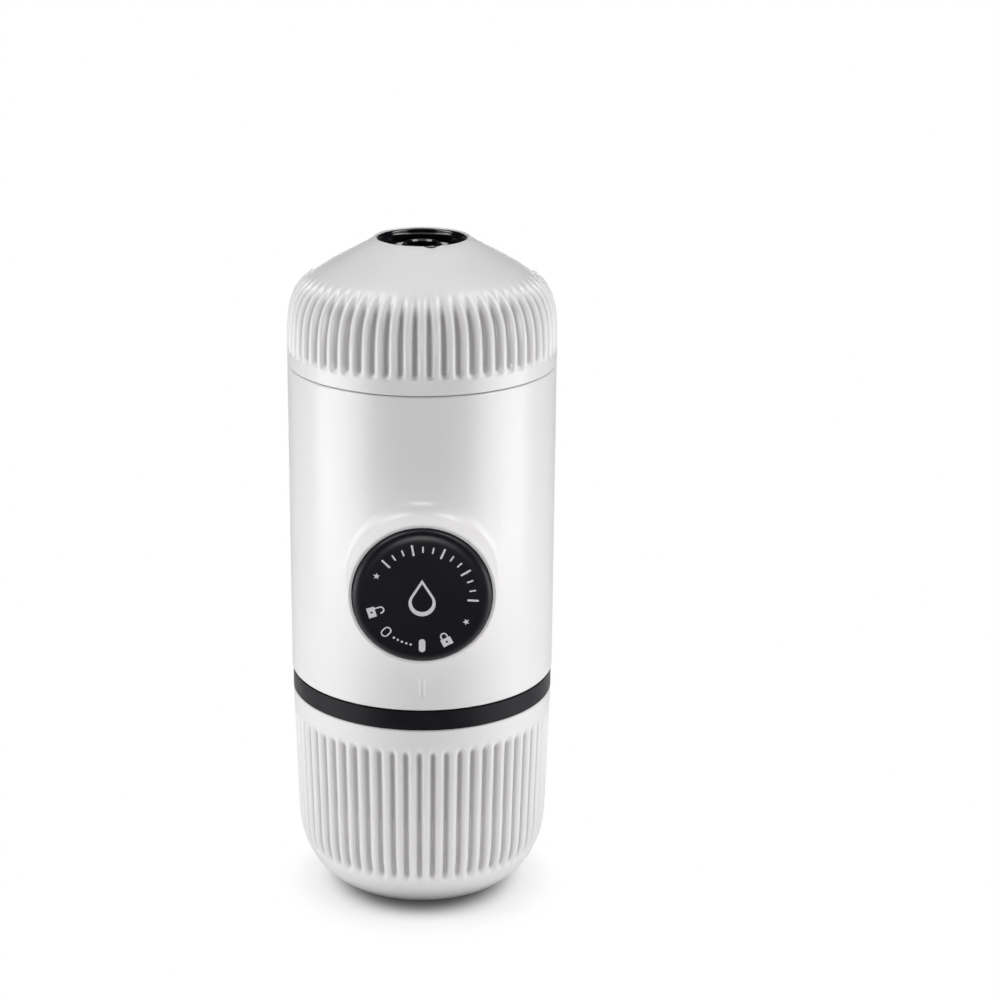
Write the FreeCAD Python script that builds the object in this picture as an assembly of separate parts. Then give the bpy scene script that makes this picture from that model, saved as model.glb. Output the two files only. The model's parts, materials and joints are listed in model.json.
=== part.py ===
import FreeCAD, Part
import math
import os

# Handheld manual espresso maker, stored upright.
# Origin: centre of the foot of the cup. +Z runs up the body, the piston knob faces -Y.
# Every size is in millimetres.

Vec = FreeCAD.Vector
UP = Vec(0, 0, 1)
FRONT = Vec(0, -1, 0)
BACK = Vec(0, 1, 0)
CENTRE = Vec(0, 0, 0)

# ---- heights of the stacked sections ----
cup_height = 47.5
band_height = 4.55
band_gap = 0.4
body_length = 74.35
seam_gap = 0.2
head_height = 29.2

# ---- clearances ----
running = 0.05
assembly = 0.1
slip_gap = 0.3
cut_margin = 1.0

# ---- main shell ----
body_radius = 31.1
body_wall = 2.2
land_depth = 2.0
land_width = 0.9
collar_wall = 0.9
edge_break = 0.3
collar_rise = 7.1
collar_blend = 3.0
mark_width = 2.3
mark_length = 4.4
mark_depth = 0.45
mark_flare = 0.2
mark_drop = 22.9

# ---- fluting on the two grips ----
flute_count = 60
flute_width = 1.3
flute_depth = 0.8
flute_band = 4.5
cup_flute_turn = 1.8
flute_run_in = 2.0
flute_run_out = 1.6
cup_flute_end = 0.36
dome_flute_end = 0.62
dome_flute_lift = 0.7
dome_flute_bend = 2.2
dome_flute_bend_inset = 0.9
dome_flute_bend_rise = 0.3

# ---- cup ----
cup_inset = 0.2
cup_taper = 0.95
cup_curve_height = 15.5
cup_side_pole = (0.25, 7.0)
cup_toe_pole = (5.1, 2.4)
cup_foot_inset = 8.4
cup_side_lift = 0.3
cup_toe_shift = 0.75
cup_foot_shift = 0.55
nest_lift = 2.0
cup_wall = 1.8
cup_floor = 2.8

# ---- water tank ----
tank_wall = 1.5
tank_play = 0.4
tank_floor_height = 4.6
tank_grip_length = 4.0
neck_inset = 4.5
neck_wall = 1.8
neck_height = 9.0
tank_seal_height = 0.9
tank_seal_width = 1.75
band_thickness = 1.7

# ---- tank socket ----
socket_depth = 9.6
socket_deck = 4.0
port_gap = 4.2
port_radius = 1.5
strainer_radius = 2.9
strainer_thickness = 0.6
strainer_hole_radius = 0.4
strainer_pitch = 1.25
vent_gap = 2.8
vent_stem_radius = 1.2
vent_cap_radius = 3.2
vent_cap_thickness = 0.8
vent_bead = 0.6
vent_taper = 1.0
vent_bead_height = 1.6

# ---- chassis ----
post_radius = 3.0
post_share = 0.7074
rear_post_share = 0.5627
web_thickness = 2.0
web_margin = 4.0
plate_gap = 6.5
plate_thickness = 3.5
screw_radius = 1.1
screw_length = 9.0
screw_head_radius = 1.9
screw_head_height = 1.3

# ---- piston ----
knob_share = 0.5
knob_gap = 0.2
knob_rise = 8.9
knob_crown_width = 2.2
knob_rim_drop = 1.3
knob_thickness = 4.5
crown_reach = 0.64
crown_drop = 0.22
sleeve_step = 0.25
sleeve_wall = 1.6
unlock_angle = 45.0
lug_height = 1.4
lug_width = 6.0
lug_length = 4.0
lug_root = 0.5
window_play = 3.0
window_land = 5.3
guide_wall = 1.85
guide_back = 5.0
guide_gap = 4.8
rod_radius = 3.4
rod_flange_radius = 8.0
rod_flange_thickness = 2.0
plunger_length = 5.0
plunger_end_gap = 0.5
plunger_seal_width = 1.8
plunger_seal_depth = 1.0

# ---- return spring ----
spring_gap = 2.5
spring_wire = 1.1
spring_turns = 6
spring_sides = 14

# ---- pump ----
bore_radius = 7.0
cylinder_wall = 1.6
cylinder_lead = 6.5
cylinder_flange_radius = 12.4
cylinder_flange_thickness = 3.0
pump_head_width = 10.4
pump_head_depth = 9.0
pump_head_gap = 2.9
pump_head_corner = 2.5
pump_head_half_height = 14.5
valve_radius = 3.4
valve_depth = 7.6
valve_offset = 3.0
seat_height = 2.0
seat_hole_radius = 1.3
poppet_radius = 2.4
poppet_thickness = 0.9
poppet_stem_radius = 0.8
poppet_stem_length = 2.2
valve_spring_radius = 1.7
valve_spring_wire = 0.4
valve_spring_turns = 3
valve_spring_sides = 8
channel_radius = 1.3
tube_wall = 0.9
tube_seat = 1.3
plug_length = 1.2
channel_floor = 0.5
pump_screw_circle = 10.4

# ---- group head ----
group_floor = 6.5
group_neck_inset = 4.7
group_neck_wall = 2.2
group_neck_height = 7.2
group_recess_inset = 8.8
group_recess_depth = 0.7
outlet_y = 6.0
drill_tip = 0.2
gasket_depth = 1.4
gasket_height = 2.8
gasket_width = 3.2
screen_inset = 7.0
screen_thickness = 0.6
screen_hole_radius = 0.9
screen_rows = 3
screen_screw_head_radius = 2.2
screen_screw_head_height = 0.8
screen_screw_length = 3.5

# ---- filter basket ----
basket_inset = 6.2
basket_wall = 0.6
basket_depth = 15.6
basket_flange_gap = 0.6
basket_corner = 1.2
basket_hole_radius = 0.7
basket_rows = 4
hole_sides = 6

# ---- outlet head ----
head_wall = 2.0
head_straight = 3.8
head_rim_radius = 10.6
head_hole_radius = 9.65
shoulder_rise = 19.9
shoulder_inset = 1.65
shoulder_tip = 19.4
shoulder_width = 6.6
lining_step = 3.2
lining_slope = 1.35
lining_drop = 0.4
cone_slope = 0.545
notch_radius = 2.9
notch_depth = 0.9
notch_angle = 12.0
core_gap = 0.35
core_floor = 1.7
bowl_radius = 8.7
bowl_depth = 3.2
bowl_drop = 1.3
bowl_corner = 1.2
bowl_corner_height = 1.6
spout_radius = 4.7
spout_bore = 3.5
spout_length = 6.4
spout_drop = 1.4
spout_chamfer = 0.5
spout_flare = 0.35
head_seal_height = 0.9

# ---- levels worked out from the sizes above ----
band_top = cup_height + band_height
body_bottom = band_top + band_gap
body_top = body_bottom + body_length
head_bottom = body_top + seam_gap
head_top = body_top + head_height
body_inner = body_radius - body_wall
land_radius = body_radius - land_width
flange_radius = land_radius - assembly
collar_reach = body_radius + collar_rise
cup_foot_radius = body_radius - cup_foot_inset
neck_radius = body_radius - neck_inset
cylinder_back = body_inner - pump_head_depth - pump_head_gap
plate_y = cylinder_back - plate_gap
port_y = cylinder_back + port_gap
knob_radius = knob_share * body_radius
knob_flat_radius = knob_radius - knob_crown_width
knob_reach = body_radius + knob_rise
knob_hole = knob_radius + knob_gap
collar_radius = knob_hole + collar_wall
sleeve_radius = knob_radius - sleeve_step
sleeve_inner = sleeve_radius - sleeve_wall
guide_inner = sleeve_radius + running
guide_radius = guide_inner + guide_wall
knob_back = -knob_reach + knob_thickness
guide_end = plate_y - guide_gap
sleeve_end = guide_end - guide_back
stroke = sleeve_end - lug_length - slip_gap + body_inner - window_land
spring_radius = sleeve_inner - spring_gap
vent_y = guide_end + vent_gap
socket_bore = neck_radius + running
socket_top = body_bottom + socket_depth + socket_deck
deck_bottom = body_bottom + socket_depth
knob_height = socket_top + running + guide_radius
post_circle = post_share * body_radius
rear_post_x = rear_post_share * body_radius
post_x = guide_radius + slip_gap + post_radius
front_post_y = -math.sqrt(post_circle**2 - post_x**2)
rear_post_y = math.sqrt(post_circle**2 - rear_post_x**2)
post_places = [
    (-post_x, front_post_y),
    (post_x, front_post_y),
    (-rear_post_x, rear_post_y),
    (rear_post_x, rear_post_y),
]
group_bottom = body_top - group_floor
group_face = body_top - assembly
group_neck_radius = body_radius - group_neck_inset
group_recess_radius = group_neck_radius - group_recess_inset
screen_radius = group_neck_radius - screen_inset
basket_radius = group_neck_radius - basket_inset
group_neck_inner = group_neck_radius - group_neck_wall
basket_flange_radius = group_neck_inner - basket_flange_gap
gasket_outer = group_neck_inner - assembly
gasket_inner = gasket_outer - gasket_width
gasket_top = group_face - gasket_depth + gasket_height
plunger_end = cylinder_back - plunger_end_gap
plunger_start = plunger_end - plunger_length
cylinder_length = cylinder_lead + stroke + plunger_length + plunger_end_gap
cylinder_front = cylinder_back - cylinder_length
cylinder_outer = bore_radius + cylinder_wall
pump_head_bottom = knob_height - pump_head_half_height
pump_head_top = knob_height + pump_head_half_height
inlet_floor = pump_head_bottom
outlet_floor = knob_height + valve_offset + channel_radius
tube_radius = port_radius + tube_wall


def revolve(edges):
    """Turn a closed outline in the XZ plane once round the body's axis."""
    face = Part.Face(Part.Wire(Part.__sortEdges__(edges)))
    return face.revolve(CENTRE, UP, 360)


def outline(points):
    """Straight edges through (radius, height) points, in order and not closed."""
    places = [Vec(radius, 0, height) for radius, height in points]
    return [Part.LineSegment(a, b).toShape() for a, b in zip(places, places[1:])]


def bezier(poles):
    curve = Part.BezierCurve()
    curve.setPoles([Vec(radius, 0, height) for radius, height in poles])
    return curve


def arc(start, middle, end):
    """Arc through three (radius, height) points."""
    places = [Vec(radius, 0, height) for radius, height in (start, middle, end)]
    return Part.Arc(*places).toShape()


def turned(points):
    """Solid of revolution from straight edges only."""
    return revolve(outline(points + points[:1]))


def ring(inner, outer, low, high):
    return turned([(inner, low), (outer, low), (outer, high), (inner, high)])


def post(radius, x, y, low, high):
    return Part.makeCylinder(radius, high - low, Vec(x, y, low), UP)


def barrel(radius, start, end):
    """Cylinder along the piston's axis between two places on Y."""
    return Part.makeCylinder(radius, end - start, Vec(0, start, knob_height), BACK)


def pipe(inner, outer, start, end):
    return barrel(outer, start, end).cut(barrel(inner, start, end))


def block(x_size, y_low, y_high, z_low, z_high):
    return Part.makeBox(x_size, y_high - y_low, z_high - z_low, Vec(-x_size / 2, y_low, z_low))


def polygon_hole(radius, x, y, low, high):
    """Prism with few sides, for one hole of a perforated sheet."""
    corners = []
    for side in range(hole_sides + 1):
        angle = 2 * math.pi * side / hole_sides
        corners.append(Vec(x + radius * math.cos(angle), y + radius * math.sin(angle), low))
    return Part.Face(Part.makePolygon(corners)).extrude(Vec(0, 0, high - low))


def hole_pattern(radius, pitch, rows, low, high):
    """Holes on rings of six, twelve, eighteen and so on, one pitch apart."""
    holes = []
    for row in range(1, rows + 1):
        for place in range(6 * row):
            angle = math.pi * place / (3 * row)
            x = row * pitch * math.cos(angle)
            y = row * pitch * math.sin(angle)
            holes.append(polygon_hole(radius, x, y, low, high))
    return holes


def coil(radius, wire, turns, sides, length):
    """Compression spring about Z from height 0, as straight runs of square wire."""
    count = turns * sides
    points = []
    for step in range(count + 1):
        angle = 2 * math.pi * step / sides
        rise = (length - wire) * step / count
        points.append(Vec(radius * math.cos(angle), radius * math.sin(angle), rise + wire / 2))
    half = wire / 2
    corners = [(-half, -half), (half, -half), (half, half), (-half, half)]
    section = Part.makePolygon([Vec(radius + a, 0, points[0].z + b) for a, b in corners + corners[:1]])
    path = Part.makePolygon(points)
    return path.makePipeShell([section], True, True, 1)


def flutes(floor_edges, count, first_angle):
    """Straight-sided grooves round a grip, each as deep as its meridian outline says."""
    face = Part.Face(Part.Wire(Part.__sortEdges__(floor_edges)))
    face.translate(Vec(0, -flute_width / 2, 0))
    groove = face.extrude(Vec(0, flute_width, 0))
    grooves = []
    for place in range(count):
        copy = groove.copy()
        copy.rotate(CENTRE, UP, first_angle + 360 * place / count)
        grooves.append(copy)
    return grooves


# ---- cup ----
cup_rim = cup_height - assembly
cup_rim_radius = body_radius - cup_inset
cup_curve_radius = cup_rim_radius - cup_taper


def cup_poles(depth, low):
    """Control points of the rounded foot, moved inward by depth and ending at height low."""
    inset, side_height = cup_side_pole
    toe_inset, toe_height = cup_toe_pole
    start = (cup_curve_radius - depth, cup_curve_height)
    second = (cup_curve_radius - inset - depth, side_height + cup_side_lift * depth)
    third = (body_radius - toe_inset - cup_toe_shift * depth, toe_height + cup_toe_shift * depth)
    last = (cup_foot_radius - cup_foot_shift * depth, low)
    return [start, second, third, last]


def cup_flute():
    """Meridian outline of one groove on the cup."""
    top = cup_rim - flute_band
    outside = body_radius + cut_margin
    floor_curve = bezier(cup_poles(flute_depth, 0.0))
    start = floor_curve.value(0)
    end = floor_curve.value(cup_flute_end)
    edges = [floor_curve.toShape(0, cup_flute_end)]
    edges += outline([
        (end.x, end.z),
        (end.x + flute_run_out, end.z - flute_run_out),
        (outside, end.z - flute_run_out),
        (outside, top),
        (cup_rim_radius - flute_depth, top - flute_run_in),
        (start.x, start.z),
    ])
    return edges


def bowl(depth, low):
    """Round corner of a vessel nested in the cup: the side moved inward by depth, the floor at height low."""
    side = cup_curve_radius - depth
    radius = cup_curve_height - low - nest_lift
    centre = (side - radius, low + radius)
    middle = (centre[0] + radius * math.sin(math.pi / 4), centre[1] - radius * math.cos(math.pi / 4))
    return (side, low + radius), middle, (side - radius, low)


def cup():
    outer = bezier(cup_poles(0, 0.0)).toShape()
    side, corner, floor_edge = bowl(cup_wall, cup_floor)
    rim = outline([
        (cup_curve_radius, cup_curve_height),
        (cup_rim_radius, cup_rim),
        (cup_rim_radius - cup_wall, cup_rim),
        (cup_curve_radius - cup_wall, cup_curve_height),
        side,
    ])
    foot = outline([(cup_foot_radius, 0), (0, 0), (0, cup_floor), floor_edge])
    shell = revolve([outer, arc(side, corner, floor_edge)] + rim + foot)
    return shell.cut(flutes(cup_flute(), flute_count, cup_flute_turn))


# ---- water tank, its band and its seal ----
tank_offset = cup_wall + slip_gap + tank_play
tank_flange_radius = cup_rim_radius - band_thickness


def water_tank():
    floor = tank_floor_height
    grip_radius = cup_rim_radius - cup_wall - running
    grip_low = cup_rim - tank_grip_length
    grip_low_radius = grip_radius - cup_taper * tank_grip_length / (cup_rim - cup_curve_height)
    side_radius = cup_rim_radius - tank_offset
    neck_inner = neck_radius - neck_wall
    out_side, out_corner, out_floor = bowl(tank_offset, floor)
    in_side, in_corner, in_floor = bowl(tank_offset + tank_wall, floor + tank_wall)
    sides = outline([
        out_side,
        (side_radius, grip_low),
        (grip_low_radius, grip_low),
        (grip_radius, cup_height),
        (tank_flange_radius, cup_height),
        (tank_flange_radius, band_top),
        (neck_radius, band_top),
        (neck_radius, band_top + neck_height),
        (neck_inner, band_top + neck_height),
        (neck_inner, cup_height),
        (side_radius - tank_wall, grip_low),
        in_side,
    ])
    base = outline([out_floor, (0, floor), (0, floor + tank_wall), in_floor])
    return revolve([arc(out_side, out_corner, out_floor), arc(in_side, in_corner, in_floor)] + sides + base)


def tank_band():
    return ring(tank_flange_radius + running, cup_rim_radius, cup_height, band_top)


def tank_seal():
    low = band_top + running
    inner = neck_radius + running
    return ring(inner, inner + tank_seal_width, low, low + tank_seal_height - running)


# ---- socket that the tank screws into ----
def screw_holes(radius, low, high):
    return [post(radius, x, y, low, high) for x, y in post_places]


def tank_socket():
    seal_room = band_top + tank_seal_height + assembly
    body = turned([
        (socket_bore, seal_room),
        (flange_radius, seal_room),
        (flange_radius, body_bottom + land_depth),
        (body_inner - assembly, body_bottom + land_depth),
        (body_inner - assembly, socket_top),
        (0, socket_top),
        (0, deck_bottom),
        (socket_bore, deck_bottom),
    ])
    cuts = screw_holes(screw_radius + assembly, deck_bottom, socket_top)
    cuts += screw_holes(screw_head_radius + assembly, deck_bottom, deck_bottom + screw_head_height + assembly)
    cuts.append(post(port_radius, 0, port_y, deck_bottom, socket_top))
    cuts.append(post(strainer_radius + assembly, 0, port_y, deck_bottom, deck_bottom + strainer_thickness))
    cuts.append(post(tube_radius + running, 0, port_y, socket_top - tube_seat, socket_top))
    cuts.append(post(vent_stem_radius + running, 0, vent_y, deck_bottom, socket_top))
    return body.cut(cuts)


def intake_strainer():
    high = deck_bottom + strainer_thickness
    plate = post(strainer_radius, 0, port_y, deck_bottom, high)
    holes = hole_pattern(strainer_hole_radius, strainer_pitch, 1, deck_bottom, high)
    for hole in holes:
        hole.translate(Vec(0, port_y, 0))
    return plate.cut(holes)


def air_valve():
    """Mushroom that lets air into the tank as water leaves it."""
    cap_low = deck_bottom - vent_cap_thickness
    stem = post(vent_stem_radius, 0, vent_y, cap_low, socket_top + assembly)
    cap = post(vent_cap_radius, 0, vent_y, cap_low, deck_bottom)
    bead_radius = vent_stem_radius + vent_bead
    place = Vec(0, vent_y, socket_top + assembly)
    bead = Part.makeCone(bead_radius, bead_radius - vent_taper, vent_bead_height, place, UP)
    return stem.fuse([cap, bead]).removeSplitter()


def screws(low_head, direction):
    """Four screws on the post circle, their heads at height low_head."""
    group = []
    for x, y in post_places:
        place = Vec(x, y, low_head)
        head = Part.makeCylinder(screw_head_radius, screw_head_height, place, direction)
        shank = Part.makeCylinder(screw_radius, screw_head_height + screw_length, place, direction)
        group.append(head.fuse(shank).removeSplitter())
    return Part.makeCompound(group)


# ---- chassis between the socket and the group head ----
def web(start, end, low, high):
    """Upright wall between two posts."""
    run = Vec(end[0] - start[0], end[1] - start[1], 0)
    side = Vec(-run.y, run.x, 0).normalize() * (web_thickness / 2)
    corner = Vec(start[0], start[1], low)
    corners = [corner + side, corner - side, corner - side + run, corner + side + run, corner + side]
    return Part.Face(Part.makePolygon(corners)).extrude(Vec(0, 0, high - low))


def pump_frame():
    posts = [post(post_radius, x, y, socket_top, group_bottom) for x, y in post_places]
    low = socket_top + web_margin
    high = group_bottom - web_margin
    webs = []
    for side in (-1, 1):
        start = (side * post_x, front_post_y)
        end = (side * rear_post_x, rear_post_y)
        webs.append(web(start, end, low, high))
    plate = block(2 * rear_post_x, plate_y, plate_y + plate_thickness, low, high)
    frame = plate.fuse(posts + webs).removeSplitter()
    cuts = [barrel(cylinder_outer + assembly, plate_y, plate_y + plate_thickness)]
    cuts += screw_holes(screw_radius, socket_top, socket_top + screw_length)
    cuts += screw_holes(screw_radius, group_bottom - screw_length, group_bottom)
    cuts += pump_screw_shanks(screw_radius)
    return frame.cut(cuts)


# ---- main shell ----
def main_body():
    tube = Part.makeCylinder(body_radius, body_length, Vec(0, 0, body_bottom), UP)
    collar = barrel(collar_radius, -collar_reach, 0)
    outer = tube.fuse(collar).removeSplitter()
    blend_edges = [e for e in outer.Edges if is_collar_root(e)]
    outer = outer.makeFillet(collar_blend, blend_edges)
    front = [e for e in outer.Edges if is_flat(e.BoundBox.YMax + collar_reach)]
    outer = outer.makeFillet(collar_wall / 2, front)
    ends = [e for e in outer.Edges if is_flat(e.BoundBox.ZLength) and e.BoundBox.XLength > 2 * collar_radius]
    outer = outer.makeChamfer(edge_break, ends)
    hollow = [
        Part.makeCylinder(body_inner, body_length, Vec(0, 0, body_bottom), UP),
        Part.makeCylinder(land_radius, land_depth, Vec(0, 0, body_bottom), UP),
        Part.makeCylinder(land_radius, land_depth, Vec(0, 0, body_top - land_depth), UP),
        barrel(knob_hole, -collar_reach - cut_margin, 0),
        index_mark(),
    ]
    return outer.cut(hollow)


def is_flat(size):
    return abs(size) < running


def is_collar_root(edge):
    """True for the curved edges where the collar leaves the round body."""
    box = edge.BoundBox
    between_ends = box.ZMin > body_bottom + cut_margin and box.ZMax < body_top - cut_margin
    curved = box.YLength > cut_margin and box.XLength > cut_margin
    return between_ends and curved and box.YMax < 0


def index_mark():
    """Shallow vee below the knob, which the knob's marks are read against."""
    top = knob_height - mark_drop
    half = mark_width / 2
    surface = -body_radius - mark_flare
    bottom = -body_radius + mark_depth
    left = Vec(-half, surface, top)
    corners = [left, Vec(half, surface, top), Vec(0, bottom, top), left]
    return Part.Face(Part.makePolygon(corners)).extrude(Vec(0, 0, -mark_length))


# ---- piston ----
def piston_knob():
    """Round cap with a flat face and a softly rounded rim."""
    face = -knob_reach
    rim = face + knob_rim_drop
    shoulder_radius = knob_flat_radius + crown_reach * (knob_radius - knob_flat_radius)
    shoulder = Vec(shoulder_radius, face + crown_drop * knob_rim_drop, 0)
    crown = Part.Arc(Vec(knob_flat_radius, face, 0), shoulder, Vec(knob_radius, rim, 0))
    places = [
        Vec(knob_radius, rim, 0),
        Vec(knob_radius, knob_back, 0),
        Vec(0, knob_back, 0),
        Vec(0, face, 0),
        Vec(knob_flat_radius, face, 0),
    ]
    edges = [crown.toShape()] + [Part.LineSegment(a, b).toShape() for a, b in zip(places, places[1:])]
    solid = Part.Face(Part.Wire(Part.__sortEdges__(edges))).revolve(CENTRE, BACK, 360)
    solid.translate(Vec(0, 0, knob_height))
    return solid


def lug_sweep(inner, outer, start, end, first, last):
    """Sector of a pipe round the piston's axis, between two angles from +X towards +Z."""
    corners = [(inner, start), (outer, start), (outer, end), (inner, end), (inner, start)]
    section = Part.makePolygon([Vec(radius, y, 0) for radius, y in corners])
    sector = Part.Face(section).revolve(CENTRE, FRONT, last - first)
    sector.rotate(CENTRE, FRONT, first)
    sector.translate(Vec(0, 0, knob_height))
    return sector


def half_lug_angle():
    return math.degrees(lug_width / 2 / sleeve_radius)


def piston_sleeve():
    tube = pipe(sleeve_inner, sleeve_radius, knob_back, sleeve_end)
    root = sleeve_inner + lug_root
    tip = sleeve_radius + lug_height
    start = sleeve_end - lug_length
    half = half_lug_angle()
    lugs = [lug_sweep(root, tip, start, sleeve_end, middle - half, middle + half) for middle in (0, 180)]
    return tube.fuse(lugs).removeSplitter()


def piston_guide():
    """Bush that carries the sleeve, with two windows for the locking lugs."""
    tube = pipe(guide_inner, guide_radius, -body_radius, guide_end)
    inside = Part.makeCylinder(body_inner - assembly, body_length, Vec(0, 0, body_bottom), UP)
    near = guide_inner - cut_margin
    far = guide_radius + cut_margin
    start = sleeve_end - lug_length - stroke - slip_gap
    end = sleeve_end + slip_gap
    clear = half_lug_angle() + window_play
    windows = []
    for middle in (0, 180):
        windows.append(lug_sweep(near, far, start, end, middle - clear, middle + unlock_angle + clear))
    return tube.common(inside).cut(windows)


def plunger():
    rod = barrel(rod_radius, knob_back + rod_flange_thickness, plunger_start)
    flange = barrel(rod_flange_radius, knob_back, knob_back + rod_flange_thickness)
    head = barrel(bore_radius - running, plunger_start, plunger_end)
    middle = (plunger_start + plunger_end) / 2
    half = plunger_seal_width / 2 + running
    floor = bore_radius - plunger_seal_depth - running
    groove = pipe(floor, bore_radius + cut_margin, middle - half, middle + half)
    return rod.fuse([flange, head]).removeSplitter().cut(groove)


def plunger_seal():
    middle = (plunger_start + plunger_end) / 2
    half = plunger_seal_width / 2
    return pipe(bore_radius - plunger_seal_depth, bore_radius - running / 2, middle - half, middle + half)


def return_spring():
    start = knob_back + assembly
    length = plate_y - 2 * assembly - start
    spring = coil(spring_radius, spring_wire, spring_turns, spring_sides, length)
    spring.rotate(CENTRE, Vec(1, 0, 0), -90)
    spring.translate(Vec(0, start, knob_height))
    return spring


# ---- pump ----
def pump_screw_shanks(radius):
    shanks = []
    start = plate_y
    for turn in range(4):
        angle = math.radians(45 + 90 * turn)
        x = pump_screw_circle * math.cos(angle)
        z = knob_height + pump_screw_circle * math.sin(angle)
        end = cylinder_back + cylinder_flange_thickness
        shanks.append(Part.makeCylinder(radius, end - start, Vec(x, start, z), BACK))
    return shanks


def pump_screws():
    group = []
    end = cylinder_back + cylinder_flange_thickness
    for shank in pump_screw_shanks(screw_radius):
        middle = shank.CenterOfMass
        place = Vec(middle.x, end, middle.z)
        head = Part.makeCylinder(screw_head_radius, screw_head_height, place, BACK)
        group.append(shank.fuse(head).removeSplitter())
    return Part.makeCompound(group)


def pump_cylinder():
    tube = barrel(cylinder_outer, cylinder_front, cylinder_back)
    flange = barrel(cylinder_flange_radius, cylinder_back - cylinder_flange_thickness, cylinder_back)
    body = tube.fuse(flange).removeSplitter()
    cuts = [barrel(bore_radius, cylinder_front, cylinder_back)]
    return body.cut(cuts + pump_screw_shanks(screw_radius + assembly))


def pump_head():
    """Block behind the cylinder with the inlet valve below and the outlet valve above."""
    disc = barrel(cylinder_flange_radius, cylinder_back, cylinder_back + cylinder_flange_thickness)
    back = cylinder_back + pump_head_depth
    body = block(pump_head_width, cylinder_back, back, pump_head_bottom, pump_head_top)
    rear_edges = [e for e in body.Edges if is_flat(e.BoundBox.YMin - back)]
    upright = [e for e in rear_edges if e.BoundBox.ZLength > pump_head_width]
    body = body.makeFillet(pump_head_corner, upright)
    cuts = [
        post(valve_radius, 0, port_y, inlet_floor, inlet_floor + valve_depth),
        post(valve_radius, 0, port_y, outlet_floor, pump_head_top),
        post(channel_radius, 0, port_y, inlet_floor, outlet_floor),
        barrel(channel_radius, cylinder_back, port_y),
    ]
    return disc.fuse(body).removeSplitter().cut(cuts + pump_screw_shanks(screw_radius + assembly))


def valve_seat(low):
    body = post(valve_radius - running, 0, port_y, low, low + seat_height)
    return body.cut(post(seat_hole_radius, 0, port_y, low, low + seat_height))


def poppet(low):
    """Flat disc on its seat, with a short stem that centres the spring."""
    disc = post(poppet_radius, 0, port_y, low + running, low + poppet_thickness)
    stem = post(poppet_stem_radius, 0, port_y, low + running, low + poppet_stem_length)
    return disc.fuse(stem).removeSplitter()


def valve_spring(low, high):
    spring = coil(valve_spring_radius, valve_spring_wire, valve_spring_turns, valve_spring_sides, high - low)
    spring.translate(Vec(0, port_y, low))
    return spring


def inlet_tube():
    low = socket_top - tube_seat
    return post(tube_radius, 0, port_y, low, inlet_floor).cut(post(port_radius, 0, port_y, low, inlet_floor))


def delivery_tube():
    """Tube from the outlet valve up into the floor of the group head."""
    low = pump_head_top - plug_length
    high = group_bottom + tube_seat
    plug = post(valve_radius - running, 0, port_y, low, pump_head_top)
    tube = post(tube_radius, 0, port_y, pump_head_top, high)
    return plug.fuse(tube).removeSplitter().cut(post(port_radius, 0, port_y, low, high))


# ---- group head, shower screen and gasket ----
def group_head():
    neck_top = body_top + group_neck_height
    body = turned([
        (0, group_bottom),
        (body_inner - assembly, group_bottom),
        (body_inner - assembly, body_top - land_depth),
        (flange_radius, body_top - land_depth),
        (flange_radius, group_face),
        (group_neck_radius, group_face),
        (group_neck_radius, neck_top),
        (group_neck_inner, neck_top),
        (group_neck_inner, group_face - gasket_depth),
        (gasket_inner - assembly, group_face - gasket_depth),
        (gasket_inner - assembly, group_face),
        (group_recess_radius, group_face),
        (group_recess_radius, group_face - group_recess_depth),
        (0, group_face - group_recess_depth),
    ])
    floor = group_face - gasket_depth
    cuts = screw_holes(screw_radius + assembly, group_bottom, floor)
    cuts += screw_holes(screw_head_radius + assembly, floor - screw_head_height - assembly, floor)
    channel_height = group_bottom + tube_seat + channel_floor + channel_radius
    cuts.append(post(tube_radius + running, 0, port_y, group_bottom, group_bottom + tube_seat))
    cuts.append(post(port_radius, 0, port_y, group_bottom, channel_height))
    start = Vec(0, port_y, channel_height)
    cuts.append(Part.makeCylinder(channel_radius, port_y - outlet_y, start, FRONT))
    cuts.append(post(port_radius, 0, outlet_y, channel_height - channel_radius - drill_tip, group_face))
    cuts.append(post(screw_radius, 0, 0, group_face - screen_screw_length - slip_gap, group_face))
    return body.cut(cuts)


def group_gasket():
    low = group_face - gasket_depth
    return ring(gasket_inner, gasket_outer, low, low + gasket_height)


def shower_screen():
    low = group_face
    plate = Part.makeCylinder(screen_radius, screen_thickness, Vec(0, 0, low), UP)
    pitch = screen_radius / (screen_rows + 1)
    holes = hole_pattern(screen_hole_radius, pitch, screen_rows, low, low + screen_thickness)
    centre_hole = post(screw_radius + assembly, 0, 0, low, low + screen_thickness)
    return plate.cut(holes + [centre_hole])


def screen_screw():
    low = group_face + screen_thickness
    head = post(screen_screw_head_radius, 0, 0, low, low + screen_screw_head_height)
    shank = post(screw_radius, 0, 0, group_face - screen_screw_length, low)
    return head.fuse(shank).removeSplitter()


# ---- filter basket: an upturned cup with a perforated roof ----
def filter_basket():
    low = gasket_top + running
    top = low + basket_depth
    shell = turned([
        (basket_radius - basket_wall, low),
        (basket_flange_radius, low),
        (basket_flange_radius, low + basket_wall),
        (basket_radius, low + basket_wall),
        (basket_radius, top - basket_corner),
        (basket_radius - basket_corner, top),
        (0, top),
        (0, top - basket_wall),
        (basket_radius - basket_corner - basket_wall, top - basket_wall),
        (basket_radius - basket_wall, top - basket_corner - basket_wall),
    ])
    pitch = basket_radius / (basket_rows + 1)
    holes = hole_pattern(basket_hole_radius, pitch, basket_rows, top - basket_wall, top)
    return shell.cut(holes)


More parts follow.
